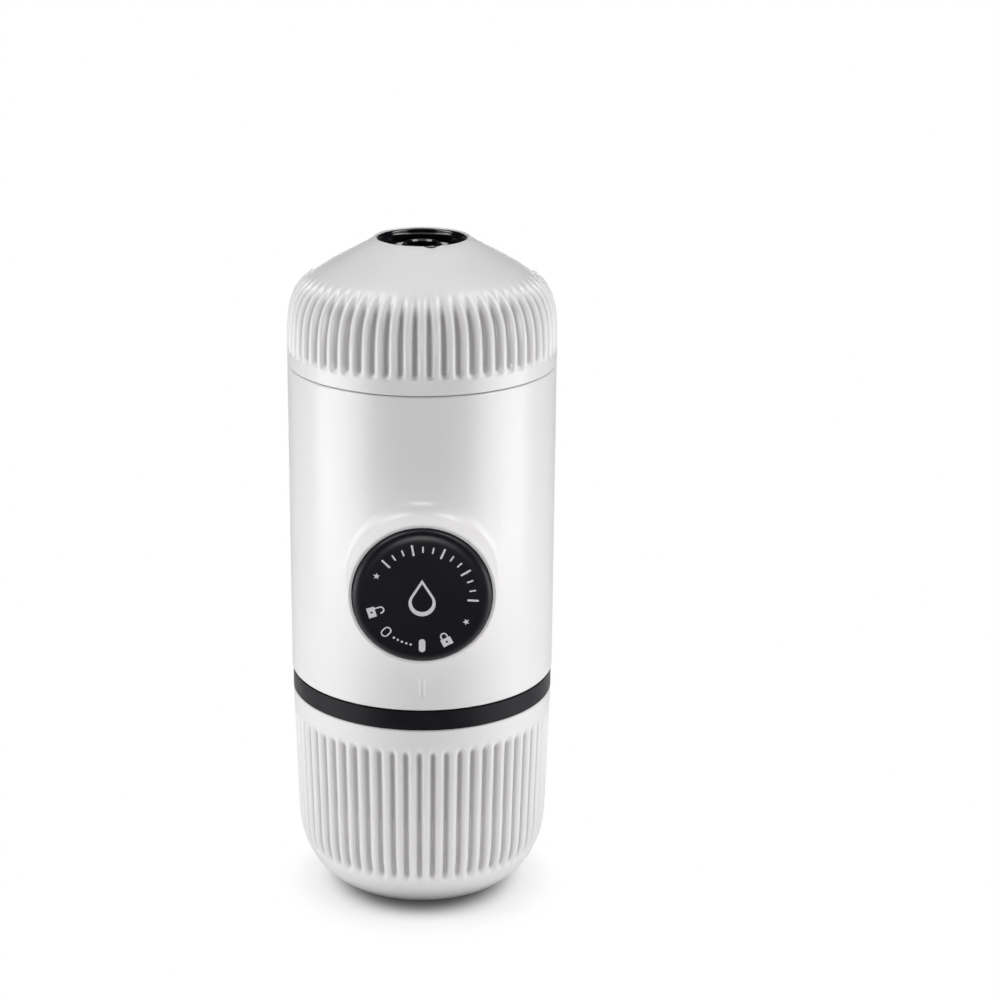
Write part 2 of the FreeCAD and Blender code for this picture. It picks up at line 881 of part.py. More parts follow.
# ---- outlet head ----
def dome_curve():
    """Shoulder and cone of the dome as one smooth curve."""
    start = (body_radius, body_top + head_straight)
    second = (body_radius, body_top + shoulder_rise)
    third = (body_radius - shoulder_inset, body_top + shoulder_tip)
    return bezier([start, second, third, (head_rim_radius, head_top)])


def dome_flute():
    """Meridian outline of one groove on the dome, fading out over the shoulder."""
    fade = dome_curve().value(dome_flute_end)
    low = body_top + flute_band - dome_flute_lift
    outside = body_radius + cut_margin
    inside = body_radius - flute_depth
    bend = body_top + shoulder_rise - dome_flute_bend
    start = (inside, low + flute_run_in)
    end = (fade.x, fade.z)
    side_pole = (inside, bend)
    top_pole = (inside - dome_flute_bend_inset, bend + dome_flute_bend_rise)
    edges = [bezier([start, side_pole, top_pole, end]).toShape()]
    high = fade.z + cut_margin
    edges += outline([start, (outside, low), (outside, high), (fade.x, high), end])
    return edges


def dome_lining(depth):
    """Side and cones under the dome, moved inward by depth, from the skirt up to the hole."""
    side = body_radius - depth
    side_top = body_top + shoulder_rise - shoulder_width - lining_drop * depth
    corner = (side - lining_step, side_top + lining_step * lining_slope)
    rise = (corner[0] - head_hole_radius) * cone_slope
    return [(side, side_top), corner, (head_hole_radius, corner[1] + rise)]


def outlet_head():
    outer = dome_curve()
    rim = outer.value(1)
    lining = dome_lining(head_wall)
    inside = outline([
        (body_radius, body_top + head_straight),
        (body_radius, head_bottom),
        (body_radius - head_wall, head_bottom),
        *lining,
        (head_hole_radius, head_top - edge_break),
        (head_hole_radius + edge_break, head_top),
        (rim.x, rim.z),
    ])
    shell = revolve([outer.toShape()] + inside)
    cutters = flutes(dome_flute(), flute_count, 360 / flute_count / 2)
    cutters.append(rim_notch())
    return shell.cut(cutters)


def rim_notch():
    """Rounded nick in the front of the rim."""
    axis_height = head_top + notch_radius - notch_depth
    turn = math.radians(notch_angle)
    direction = Vec(math.sin(turn), -math.cos(turn), 0)
    return Part.makeCylinder(notch_radius, head_rim_radius + cut_margin, Vec(0, 0, axis_height), direction)


def head_core():
    """Black lining: threaded skirt, sleeve that presses the basket, funnel and spout bowl."""
    skirt_inner = group_neck_radius + running
    skirt_outer = body_radius - head_wall - core_gap
    skirt_low = head_bottom + head_seal_height + assembly
    neck_top = body_top + group_neck_height
    sleeve_outer = group_neck_inner - slip_gap
    sleeve_inner = basket_radius + slip_gap
    press = gasket_top + running + basket_wall + running
    basket_top = gasket_top + running + basket_depth
    roof_low = neck_top + slip_gap
    hood = dome_lining(head_wall + core_gap)
    bowl_top = head_top - bowl_drop
    bowl_low = bowl_top - bowl_depth
    rim = head_hole_radius - assembly
    return turned([
        (spout_radius + running, bowl_low),
        (bowl_radius - bowl_corner, bowl_low),
        (bowl_radius, bowl_low + bowl_corner_height),
        (bowl_radius, bowl_top),
        (rim, bowl_top),
        (rim, hood[2][1]),
        hood[1],
        hood[0],
        (skirt_outer, skirt_low),
        (skirt_inner, skirt_low),
        (skirt_inner, roof_low),
        (sleeve_outer, roof_low),
        (sleeve_outer, press),
        (sleeve_inner, press),
        (sleeve_inner, basket_top + slip_gap),
        (spout_radius + running, bowl_low - core_floor),
    ])


def spout():
    top = head_top - spout_drop
    return turned([
        (spout_bore, top - spout_length),
        (spout_radius, top - spout_length),
        (spout_radius, top - spout_chamfer),
        (spout_radius - spout_chamfer, top),
        (spout_bore + spout_flare, top),
        (spout_bore, top - spout_flare),
    ])


def head_seal():
    low = head_bottom + assembly
    outer = body_radius - head_wall - assembly
    return ring(group_neck_radius + running, outer, low, low + head_seal_height - assembly)


def outlet_spring():
    return valve_spring(outlet_floor + seat_height + poppet_thickness, pump_head_top - plug_length)


def inlet_spring():
    return valve_spring(inlet_floor + seat_height + poppet_thickness, inlet_floor + valve_depth)


parts = {
    "cup": cup,
    "water_tank": water_tank,
    "tank_band": tank_band,
    "tank_seal": tank_seal,
    "tank_socket": tank_socket,
    "intake_strainer": intake_strainer,
    "air_valve": air_valve,
    "lower_screws": lambda: screws(deck_bottom, UP),
    "pump_frame": pump_frame,
    "main_body": main_body,
    "piston_knob": piston_knob,
    "piston_sleeve": piston_sleeve,
    "piston_guide": piston_guide,
    "plunger": plunger,
    "plunger_seal": plunger_seal,
    "return_spring": return_spring,
    "pump_cylinder": pump_cylinder,
    "pump_head": pump_head,
    "pump_screws": pump_screws,
    "inlet_seat": lambda: valve_seat(inlet_floor),
    "inlet_poppet": lambda: poppet(inlet_floor + seat_height),
    "inlet_spring": inlet_spring,
    "outlet_seat": lambda: valve_seat(outlet_floor),
    "outlet_poppet": lambda: poppet(outlet_floor + seat_height),
    "outlet_spring": outlet_spring,
    "inlet_tube": inlet_tube,
    "delivery_tube": delivery_tube,
    "group_head": group_head,
    "upper_screws": lambda: screws(group_face - gasket_depth, -UP),
    "group_gasket": group_gasket,
    "shower_screen": shower_screen,
    "screen_screw": screen_screw,
    "filter_basket": filter_basket,
    "outlet_head": outlet_head,
    "head_core": head_core,
    "spout": spout,
    "head_seal": head_seal,
}

os.makedirs("parts", exist_ok=True)
for node, make in parts.items():
    make().exportStep(f"parts/{node}.step")
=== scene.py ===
"""Dresses a handheld manual espresso maker: shells, printed marks, finishes and a plain studio."""

import json
import math

import bpy
from bpy.props import FloatProperty, FloatVectorProperty, IntProperty, PointerProperty
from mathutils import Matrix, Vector


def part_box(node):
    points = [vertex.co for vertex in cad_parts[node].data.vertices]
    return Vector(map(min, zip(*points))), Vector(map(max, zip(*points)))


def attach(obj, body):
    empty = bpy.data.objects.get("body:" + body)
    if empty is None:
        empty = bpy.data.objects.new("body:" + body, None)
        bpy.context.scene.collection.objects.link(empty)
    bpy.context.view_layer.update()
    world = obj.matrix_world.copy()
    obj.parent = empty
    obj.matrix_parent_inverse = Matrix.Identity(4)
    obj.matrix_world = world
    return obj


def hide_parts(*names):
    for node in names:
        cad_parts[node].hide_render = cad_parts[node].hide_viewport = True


bl_info = {
    "name": "Espresso maker dressing",
    "version": (1, 0, 0),
    "blender": (4, 5, 0),
    "location": "3D View > Sidebar > Espresso maker",
    "description": "Builds the shells, printed marks, finishes and studio of an espresso maker",
    "category": "Object",
}

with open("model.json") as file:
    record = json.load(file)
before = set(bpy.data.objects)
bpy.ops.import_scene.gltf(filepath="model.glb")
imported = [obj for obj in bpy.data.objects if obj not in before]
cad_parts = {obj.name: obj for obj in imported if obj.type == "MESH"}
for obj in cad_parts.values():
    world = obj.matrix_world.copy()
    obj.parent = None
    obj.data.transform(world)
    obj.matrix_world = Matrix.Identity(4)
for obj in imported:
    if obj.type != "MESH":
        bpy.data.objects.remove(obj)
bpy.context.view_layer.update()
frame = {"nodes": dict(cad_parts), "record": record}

head_low, head_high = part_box("outlet_head")
body_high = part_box("main_body")[1]
cup_low, cup_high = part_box("cup")
knob_low, knob_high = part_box("piston_knob")

PRESSED_GROUP = "pressed"
# groove amounts kept on the mesh, which the shell's finish reads to paint shade into the grooves
GROOVE_ATTRIBUTE = "groove"

# ---- sizes in metres; a drop is measured down from the top of the dome ----
MERGE_DISTANCE = 2e-6
TURN_STEPS = 256
EDGE = 0.0003
UP = Vector((0, 0, 1))
ORIGIN = Vector((0, 0, 0))

# ribbed dome, as wide as the body below it
HEAD_RADIUS = body_high.x
HEAD_TOP = head_high.z
HEAD_FOOT = head_low.z
HEAD_INSIDE = 0.0291
# below this drop, the inner wall and what lies less than the margin outside it stay unpressed
HEAD_INSIDE_DROP = 0.0125
HEAD_INSIDE_MARGIN = 0.0001
# run-outs of the grooves, each from its lower to its upper end
HEAD_GROOVE_FOOT = (HEAD_TOP - 0.0259, HEAD_TOP - 0.0240)
HEAD_GROOVE_TOP = (HEAD_TOP - 0.0120, HEAD_TOP - 0.0072)
SKIRT_DROP = 0.0254
# rows of points on the skirt, from and to these distances below its upper end
SKIRT_ROWS = (0.0010, 0.0001)
SKIRT_ROW_COUNT = 4
LINING_FOLD_RADIUS = 0.0259
LINING_FOLD_DROP = 0.01566
LINING_DROP = 0.0167

# hole in the dome, with its small nick
HOLE_RADIUS = 0.01035
HOLE_BEVEL = 0.0002
HOLE_RIM = 0.0003
HOLE_DROP = 0.0018
BORE_RADIUS = 0.00965
BORE_TOP_DROP = 0.0022
BORE_FOOT_DROP = 0.0068
NICK_TURN = math.radians(12)
NICK_RADIUS = 0.0036
NICK_DEPTH = 0.0005
NICK_REACH = 0.0015

# glossy lip in the hole
LIP_OUTSIDE = 0.0102
LIP_INSIDE = 0.0087
LIP_BEND_RADIUS = 0.00955
LIP_CREST_DROP = 0.0002
LIP_BEND_DROP = 0.0007
LIP_SEAT_DROP = 0.00133
LIP_FOOT_DROP = 0.0017
LIP_BEVEL = 0.0001

# ribbed cup, heights measured up from its foot
CUP_RADIUS = cup_high.x
CUP_RIM = cup_high.z
CUP_FOOT = cup_low.z
CUP_WALL = 0.0018
CUP_WAIST_RADIUS = 0.02995
CUP_WAIST = CUP_FOOT + 0.0155
CUP_FINE_ROWS = (CUP_FOOT + 0.0432, CUP_FOOT + 0.0400)
CUP_FINE_ROW_COUNT = 11
CUP_ROWS = (CUP_FOOT + 0.0385, CUP_FOOT + 0.0170)
CUP_ROW_COUNT = 3
CUP_GROOVE_FOOT = (CUP_FOOT + 0.0068, CUP_FOOT + 0.0098)
CUP_GROOVE_TOP = (CUP_FOOT + 0.0402, CUP_FOOT + 0.0430)
# places out to these radii stay unpressed, above the waist and anywhere
CUP_OUTER_WALL = 0.0290
CUP_UNDERSIDE = 0.0205
CUP_FOOT_RADIUS = 0.0227
CUP_STAND_RADIUS = 0.0200
CUP_HOLLOW_RADIUS = 0.0194
CUP_HOLLOW = CUP_FOOT + 0.0004
CUP_FLOOR = CUP_FOOT + 0.0028
CUP_CORNER_LIFT = 0.002
CUP_CORNER_STEPS = 10

# piston knob, turned about an axis that lies from front to back
KNOB_RADIUS = knob_high.x
KNOB_FRONT = knob_low.y
KNOB_BACK = knob_high.y
KNOB_HEIGHT = (knob_low.z + knob_high.z) / 2
KNOB_CENTRE = Vector((0, 0, KNOB_HEIGHT))
PISTON_AXIS = Vector((0, 1, 0))
KNOB_FLAT_MARGIN = 0.0012
KNOB_FALL_MARGIN = 0.0004
KNOB_FALL = 0.00001
KNOB_RIM_LEAN = 0.0001
KNOB_RIM_DEPTH = 0.0013
KNOB_SIDE_DEPTH = 0.0010

# printed marks, their places on the mark circle in degrees; a pill is (width, length),
# a drop is (radius of its belly, height of its tip above the belly's centre)
END_POINTS = 14
DOT_POINTS = 16
BELLY_POINTS = 40
BAR_SIZE = (0.00145, 0.0031)
BAR_ANGLE = -90
RING_OUTER = (0.0019, 0.0026)
RING_INNER = (0.0013, 0.0020)
RING_ANGLE = 225
DOT_RADIUS = 0.00026
DOT_COUNT = 5
DOT_START, DOT_STEP = 257, -5.2
STAR_RADIUS = 0.0008
STAR_WAIST = 0.42
STAR_POINTS = 5
STAR_ANGLES = (153, -30)
PADLOCK_WIDTH = 0.0024
SHUT_PADLOCK_ANGLE = -62
OPEN_PADLOCK_ANGLE = 197
TICK_COUNT = 13
TICK_START, TICK_STEP = 135, -11.5
LONG_TICK = (0.00046, 0.0026)
SHORT_TICK = (0.00036, 0.0015)
LONG_TICK_EVERY = 3
DROP_OUTER = (0.0030, 0.0056)
DROP_INNER = (0.0023, 0.0043)

# floor: distances from the foot over which the painted contact shadow ends and plain white begins,
# and the edges of the painted dark strip far in front, which only reflections see
FLOOR_RADIUS = 3.0
FLOOR_SIDES = 96
FOOT_SHIFT = (0, 0.010, 0)
CONTACT_SHADOW_FADE = (0.013, 0.025)
WHITE_FADE = (0.015, 0.034)
STRIP_SIDE_FADE = (0.07, 0.13)
STRIP_FRONT_FADE = (-0.12, -0.08)

# surround: its strength in reflections, rising from the front to the back of the room
BEHIND_FADE = (-0.35, 0.5)
BEHIND_LIGHT = (0.001, 0.015)

# lamps: name, place, target, (width, height) and power setting; then the camera
SIDE_LAMPS = (
    ("side_softbox", (0.20, -0.06, 0.17), (0, -0.02, 0.1), (0.16, 0.34), "side_power"),
    ("low_softbox", (0.20, -0.08, 0.06), (0, -0.02, 0.06), (0.20, 0.10), "low_power"),
    ("high_softbox", (0.23, 0, 0.45), (0, 0, 0.14), (0.14, 0.26), "high_power"),
)
MIDDLE_LAMPS = (
    ("front_fill", (0, -0.85, 0.20), (0, 0, 0.08), (0.25, 0.3), "front_power"),
    ("back_fill", (0, 0.75, 0.10), (0, 0, 0.08), (0.4, 0.14), "back_power"),
    ("top_light", (0, 0.03, 0.60), (0, 0, 0.08), (0.3, 0.3), "top_power"),
)
CAMERA_PLACE = (0, -0.5445, 0.2720)
CAMERA_TILT = math.radians(71.77)
CAMERA_LENS = 87.66
CAMERA_SENSOR = 36
CAMERA_SHIFT = (0.0779, 0.0012)
CAMERA_NEAR = 0.01


# ---- tones and colours of finishes, as linear shares ----
# painted shade, multiplied into the white shell's colour down in its grooves
GROOVE_SHADE_PAINT = (0.50, 0.49, 0.495)
GREY_FRAME = (0.07, 0.07, 0.078)
WHITE_ACETAL = (0.7, 0.69, 0.65)
STEEL = (0.62, 0.62, 0.63)
SCREW_STEEL = (0.46, 0.46, 0.48)
SILICONE = (0.5, 0.47, 0.43)
FLOOR_TONES = ((0.93, 0.93, 0.93), (0.95, 0.95, 0.95))
# painted shadow on the floor round the foot
CONTACT_SHADOW_PAINT = (0.16, 0.16, 0.165)
# painted dark strip on the floor far in front, seen only in reflections
DARK_STRIP_PAINT = (0.02, 0.02, 0.02)


# ---- sizes and colours a user may change ----
class EspressoGripSizes(bpy.types.PropertyGroup):
    """Sizes of the ribbed grips on dome and cup"""

    rib_count: IntProperty(
        name="Ribs", description="Ribs round each grip", default=60, min=12, max=90
    )
    groove_depth: FloatProperty(
        name="Groove depth", description="Depth of the grooves between ribs", default=0.00105,
        min=0, max=0.0015, precision=5, unit="LENGTH"
    )
    groove_share: FloatProperty(
        name="Groove width", description="Width of a groove as a share of the rib spacing",
        default=0.86, min=0.1, max=1, subtype="FACTOR"
    )
    columns_per_rib: IntProperty(
        name="Columns per rib", description="Mesh columns in each rib", default=16, min=8, max=24
    )
    cup_turn: FloatProperty(
        name="Cup turn", description="Turn of the cup's grooves from those of the head",
        default=math.radians(1.8), subtype="ANGLE"
    )


class EspressoKnobSizes(bpy.types.PropertyGroup):
    """Sizes of the knob's face and its printed marks"""

    print_depth: FloatProperty(
        name="Print thickness", description="Thickness of the printed marks", default=0.00003,
        min=0.00001, max=0.0002, precision=6, unit="LENGTH"
    )
    mark_circle: FloatProperty(
        name="Mark circle", description="Radius of the circle that the marks stand on",
        default=0.0113, min=0.008, max=0.0125, precision=5, unit="LENGTH"
    )
    face_radius: FloatProperty(
        name="Face radius", description="Radius of the flat face", default=0.0132,
        min=0.011, max=0.014, precision=5, unit="LENGTH"
    )


class EspressoColours(bpy.types.PropertyGroup):
    """Colours of the pieces that show"""

    shell: FloatVectorProperty(
        name="Shell", description="Moulded outer shells", default=(0.815, 0.802, 0.806),
        size=3, min=0, max=1, subtype="COLOR"
    )
    knob: FloatVectorProperty(
        name="Knob", description="Piston knob and inner fittings", default=(0.007, 0.007, 0.011),
        size=3, min=0, max=1, subtype="COLOR"
    )
    spout: FloatVectorProperty(
        name="Spout", description="Polished lining and spout", default=(0.004, 0.004, 0.006),
        size=3, min=0, max=1, subtype="COLOR"
    )
    band: FloatVectorProperty(
        name="Band", description="Rubber band above the cup", default=(0.006, 0.006, 0.009),
        size=3, min=0, max=1, subtype="COLOR"
    )
    tank: FloatVectorProperty(
        name="Tank", description="Clear water tank", default=(0.5, 0.53, 0.57),
        size=3, min=0, max=1, subtype="COLOR"
    )
    print: FloatVectorProperty(
        name="Print", description="Printed marks on the knob", default=(0.76, 0.75, 0.8),
        size=3, min=0, max=1, subtype="COLOR"
    )


class EspressoStudioSizes(bpy.types.PropertyGroup):
    """Strengths of the studio's lamps"""

    side_power: FloatProperty(
        name="Side lamps", description="Power of each tall side lamp", default=0.145,
        min=0, unit="POWER"
    )
    low_power: FloatProperty(
        name="Low lamps", description="Power of each lamp beside the cup", default=0.16,
        min=0, unit="POWER"
    )
    high_power: FloatProperty(
        name="High lamps", description="Power of each lamp over the dome", default=0.56,
        min=0, unit="POWER"
    )
    front_power: FloatProperty(
        name="Front lamp", description="Power of the lamp in front", default=1.9,
        min=0, unit="POWER"
    )
    back_power: FloatProperty(
        name="Back lamp", description="Power of the lamp behind", default=1.0,
        min=0, unit="POWER"
    )
    top_power: FloatProperty(
        name="Top lamp", description="Power of the lamp overhead", default=0.25,
        min=0, unit="POWER"
    )
    room_light: FloatProperty(
        name="Room light", description="Strength of the light from all round", default=0.008,
        min=0, max=1
    )


# ---- modelling helpers ----
def select_none():
    """Deselect everything."""
    bpy.ops.object.select_all(action="DESELECT")


def select_only(piece):
    """Leave nothing selected but this piece, and make it the active one."""
    select_none()
    piece.select_set(True)
    bpy.context.view_layer.objects.active = piece


def edit(piece):
    """Enter edit mode on a piece with all of it selected."""
    select_only(piece)
    bpy.ops.object.mode_set(mode="EDIT")
    bpy.ops.mesh.select_all(action="SELECT")


def leave():
    """Return from edit mode."""
    bpy.ops.object.mode_set(mode="OBJECT")


def close_up(piece):
    """Merge doubled points and turn every face outwards."""
    edit(piece)
    bpy.ops.mesh.remove_doubles(threshold=MERGE_DISTANCE)
    bpy.ops.mesh.select_all(action="SELECT")
    bpy.ops.mesh.normals_make_consistent(inside=False)
    leave()


def curve_to_mesh(name):
    """Turn the active curve into a mesh, and give object and mesh their name."""
    bpy.ops.object.convert(target="MESH")
    piece = bpy.context.object
    piece.name = name
    piece.data.name = name
    return piece


# ---- outlines: lists of stations, each a point with its handle before and after ----
def bend(point, before=None, after=None):
    """Station with handles given as steps from its point; a side without one runs straight."""
    handles = [step and (point[0] + step[0], point[1] + step[1]) for step in (before, after)]
    return (point, *handles)


def corner(radius, height):
    """Station where two straight runs meet."""
    return bend((radius, height))


def corners(start, end, count):
    """Corners spread evenly along a straight run, both ends included."""
    run = []
    for step in range(count + 1):
        share = step / count
        radius = start[0] + share * (end[0] - start[0])
        height = start[1] + share * (end[1] - start[1])
        run.append(corner(radius, height))
    return run


def arc_corners(centre, radius, start, end, count):
    """Corners along an arc in an outline, angles in degrees from outwards to upwards."""
    run = []
    for step in range(count + 1):
        angle = math.radians(start + (end - start) * step / count)
        across = centre[0] + radius * math.cos(angle)
        run.append(corner(across, centre[1] + radius * math.sin(angle)))
    return run


def standing(radius, height):
    """Place of an outline point on a piece turned about the upright axis."""
    return Vector((radius, 0, height))


def lying(radius, reach):
    """Place of an outline point on a piece turned about the piston's axis."""
    return Vector((radius, reach, KNOB_HEIGHT))


def draw_outline(name, stations, place, closed, curve_steps):
    """Draw stations as one spline and make it a mesh of edges."""
    select_none()
    bpy.ops.curve.primitive_bezier_curve_add()
    curve = bpy.context.object
    curve.data.dimensions = "3D"
    curve.data.resolution_u = curve_steps
    spline = curve.data.splines[0]
    spline.bezier_points.add(len(stations) - 2)
    for knot, (point, before, after) in zip(spline.bezier_points, stations):
        knot.handle_left_type = "FREE" if before else "VECTOR"
        knot.handle_right_type = "FREE" if after else "VECTOR"
        knot.co = place(*point)
        knot.handle_left = place(*(before or point))
        knot.handle_right = place(*(after or point))
    spline.use_cyclic_u = closed
    return curve_to_mesh(name)


def spin_round(piece, steps, centre, axis, angle=2 * math.pi):
    """Turn an outline round an axis into a shell or a sector of one."""
    edit(piece)
    bpy.ops.mesh.spin(steps=steps, angle=angle, center=centre, axis=axis)
    leave()


def turned(name, stations, place, centre, axis, closed, curve_steps):
    """Piece turned all the way round an axis."""
    piece = draw_outline(name, stations, place, closed, curve_steps)
    spin_round(piece, TURN_STEPS, centre, axis)
    close_up(piece)
    return piece


def repeat_round(piece, count):
    """Copy a sector round the upright axis until it closes."""
    select_none()
    bpy.ops.object.empty_add(rotation=(0, 0, 2 * math.pi / count))
    turn = bpy.context.object
    select_only(piece)
    bpy.ops.object.modifier_add(type="ARRAY")
    copies = piece.modifiers[-1]
    copies.count = count
    copies.use_relative_offset = False
    copies.use_object_offset = True
    copies.offset_object = turn
    bpy.ops.object.modifier_apply(modifier=copies.name)
    bpy.data.objects.remove(turn)
    close_up(piece)


def press_in(piece, amount_at, depth, direction):
    """Push points inwards by depth times the amount, from 0 to 1, that amount_at gives for a place.

    Amounts pressed along the normals are kept on the mesh too; the shell's finish paints shade by them.
    """
    amounts = [amount_at(point.co) for point in piece.data.vertices]
    group = piece.vertex_groups.new(name=PRESSED_GROUP)
    for index, amount in enumerate(amounts):
        if amount > 0:
            group.add([index], amount, "REPLACE")
    if direction == "NORMAL":
        shade = piece.data.attributes.new(GROOVE_ATTRIBUTE, "FLOAT", "POINT")
        shade.data.foreach_set("value", amounts)
    select_only(piece)
    bpy.ops.object.modifier_add(type="DISPLACE")
    press = piece.modifiers[-1]
    press.direction = direction
    press.vertex_group = PRESSED_GROUP
    press.mid_level = 0
    press.strength = -depth
    bpy.ops.object.modifier_apply(modifier=press.name)
    piece.vertex_groups.remove(piece.vertex_groups[PRESSED_GROUP])


def ribbed(name, stations, grip, pressed, curve_steps):
    """Shell with ribs all round: one rib is spun and pressed, then repeated."""
    piece = draw_outline(name, stations, standing, True, curve_steps)
    spin_round(piece, grip.columns_per_rib, ORIGIN, UP, 2 * math.pi / grip.rib_count)
    close_up(piece)
    press_in(piece, pressed, grip.groove_depth, "NORMAL")
    repeat_round(piece, grip.rib_count)
    return piece


def finish_piece(piece, body, slot, nodes=(), smooth_angle=35.0):
    """Fix place, shading, finish and body of a new piece."""
    select_only(piece)
    bpy.ops.object.transform_apply(location=True, rotation=True, scale=True)
    bpy.ops.object.shade_smooth_by_angle(angle=math.radians(smooth_angle))
    piece.data.materials.clear()
    piece.data.materials.append(finish(slot))
    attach(piece, body)
    if nodes:
        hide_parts(*nodes)


# ---- material helpers ----
def first_node(tree, kind):
    """The node of a kind that a new tree comes with."""
    return next(item for item in tree.nodes if item.type == kind)


def new_finish(name):
    """New material, with its node tree and its Principled node."""
    material = bpy.data.materials.new(name)
    material.use_nodes = True
    tree = material.node_tree
    return material, tree, first_node(tree, "BSDF_PRINCIPLED")


def node(tree, kind, **values):
    """New node, with settings and unlinked inputs given by name."""
    made = tree.nodes.new(kind)
    for name, value in values.items():
        title = name.replace("_", " ")
        if title in made.inputs:
            made.inputs[title].default_value = value
        else:
            setattr(made, name, value)
    return made


def noise(tree, scale, detail, stretch=(1, 1, 1)):
    """Noise on the object's own coordinates, in repeats per metre."""
    place = node(tree, "ShaderNodeTexCoord")
    mapping = node(tree, "ShaderNodeMapping")
    mapping.inputs["Scale"].default_value = stretch
    pattern = node(tree, "ShaderNodeTexNoise", Scale=scale, Detail=detail)
    tree.links.new(place.outputs["Object"], mapping.inputs["Vector"])
    tree.links.new(mapping.outputs["Vector"], pattern.inputs["Vector"])
    return pattern.outputs["Fac"]


def spread(tree, value, low, high, start=0.3, end=0.7, curve="LINEAR"):
    """Map start to end, by default the middle range of a noise, onto low to high."""
    change = node(tree, "ShaderNodeMapRange", interpolation_type=curve)
    change.inputs["From Min"].default_value = start
    change.inputs["From Max"].default_value = end
    change.inputs["To Min"].default_value = low
    change.inputs["To Max"].default_value = high
    tree.links.new(value, change.inputs["Value"])
    return change.outputs["Result"]


def combined(tree, operation, *values):
    """Output of a Math node fed with the given outputs."""
    result = node(tree, "ShaderNodeMath", operation=operation)
    for index, value in enumerate(values):
        tree.links.new(value, result.inputs[index])
    return result.outputs["Value"]


def mixed(tree, share, first, second, way="MIX"):
    """Blend of two colours by a share; each colour is three numbers or a node's output."""
    blend = node(tree, "ShaderNodeMix", data_type="RGBA", blend_type=way)
    tree.links.new(share, blend.inputs["Factor"])
    for socket, colour in (("A", first), ("B", second)):
        if isinstance(colour, bpy.types.NodeSocket):
            tree.links.new(colour, blend.inputs[socket])
        else:
            blend.inputs[socket].default_value = (*colour, 1)
    return blend.outputs["Result"]


def scaled(colour, factor):
    """Colour made darker or lighter."""
    return tuple(min(channel * factor, 1) for channel in colour)


def bump(tree, shader, height, distance, under=None):
    """Fine relief on a finish, over a broader one where that is given."""
    relief = node(tree, "ShaderNodeBump", Distance=distance, Strength=1.0)
    tree.links.new(height, relief.inputs["Height"])
    if under:
        tree.links.new(under.outputs["Normal"], relief.inputs["Normal"])
    tree.links.new(relief.outputs["Normal"], shader.inputs["Normal"])
    return relief


# ---- finishes ----
def moulded(name, colour, roughness, grain, grain_scale=2600, coat=0.0, shine=0.5):
    """Moulded plastic: fine spark grain, slow flow variation and rubbed patches."""
    material, tree, shader = new_finish(name)
    flow = spread(tree, noise(tree, scale=30, detail=3), 0, 1, start=0.2, end=0.8)
    tone = mixed(tree, flow, scaled(colour, 0.99), scaled(colour, 1.01))
    tree.links.new(tone, shader.inputs["Base Color"])
    patches = noise(tree, scale=110, detail=4)
    rub = spread(tree, patches, roughness - 0.025, roughness + 0.03, start=0.2, end=0.8)
    tree.links.new(rub, shader.inputs["Roughness"])
    wave = bump(tree, shader, noise(tree, scale=220, detail=2), grain * 1.5)
    bump(tree, shader, noise(tree, grain_scale, detail=2), grain, under=wave)
    shader.inputs["IOR"].default_value = 1.5
    shader.inputs["Specular IOR Level"].default_value = shine
    shader.inputs["Coat Weight"].default_value = coat
    shader.inputs["Coat Roughness"].default_value = 0.12
    return material


def soft_shell(name, colour):
    """White satin shell: moulded plastic with painted shade that darkens it down in its grooves."""
    material = moulded(name, colour, roughness=0.31, grain=2.2e-6, shine=0.75)
    tree = material.node_tree
    base = first_node(tree, "BSDF_PRINCIPLED").inputs["Base Color"]
    # painted shade: the shell's colour is multiplied darker by how far a place lies in a groove
    groove = node(tree, "ShaderNodeAttribute", attribute_name=GROOVE_ATTRIBUTE)
    depth = spread(tree, groove.outputs["Fac"], 0, 1, start=0.35, end=1)
    shade = mixed(tree, depth, base.links[0].from_socket, GROOVE_SHADE_PAINT, way="MULTIPLY")
    tree.links.new(shade, base)
    return material


def brushed(name, colour, roughness, stretch):
    """Metal with fine lines: noise drawn out along the brushing."""
    material, tree, shader = new_finish(name)
    lines = noise(tree, scale=900, detail=4, stretch=stretch)
    tone = mixed(tree, spread(tree, lines, 0, 1), scaled(colour, 0.86), scaled(colour, 1.1))
    tree.links.new(tone, shader.inputs["Base Color"])
    wear = spread(tree, noise(tree, scale=130, detail=3), roughness - 0.06, roughness + 0.08)
    tree.links.new(wear, shader.inputs["Roughness"])
    bump(tree, shader, lines, distance=2e-6)
    shader.inputs["Metallic"].default_value = 1.0
    shader.inputs["Anisotropic"].default_value = 0.35
    return material


def elastomer(name, colour, roughness, pebbles):
    """Rubber or silicone: dusty, matt, with a pebbled skin."""
    material, tree, shader = new_finish(name)
    dust = spread(tree, noise(tree, scale=700, detail=5), 0, 0.5, start=0.3, end=0.8)
    tree.links.new(mixed(tree, dust, colour, scaled(colour, 1.25)), shader.inputs["Base Color"])
    wear = spread(tree, noise(tree, scale=300, detail=3), roughness - 0.04, roughness + 0.06)
    tree.links.new(wear, shader.inputs["Roughness"])
    bump(tree, shader, noise(tree, scale=3800, detail=3), pebbles)
    shader.inputs["Sheen Weight"].default_value = 0.01
    shader.inputs["Specular IOR Level"].default_value = 0.2
    return material


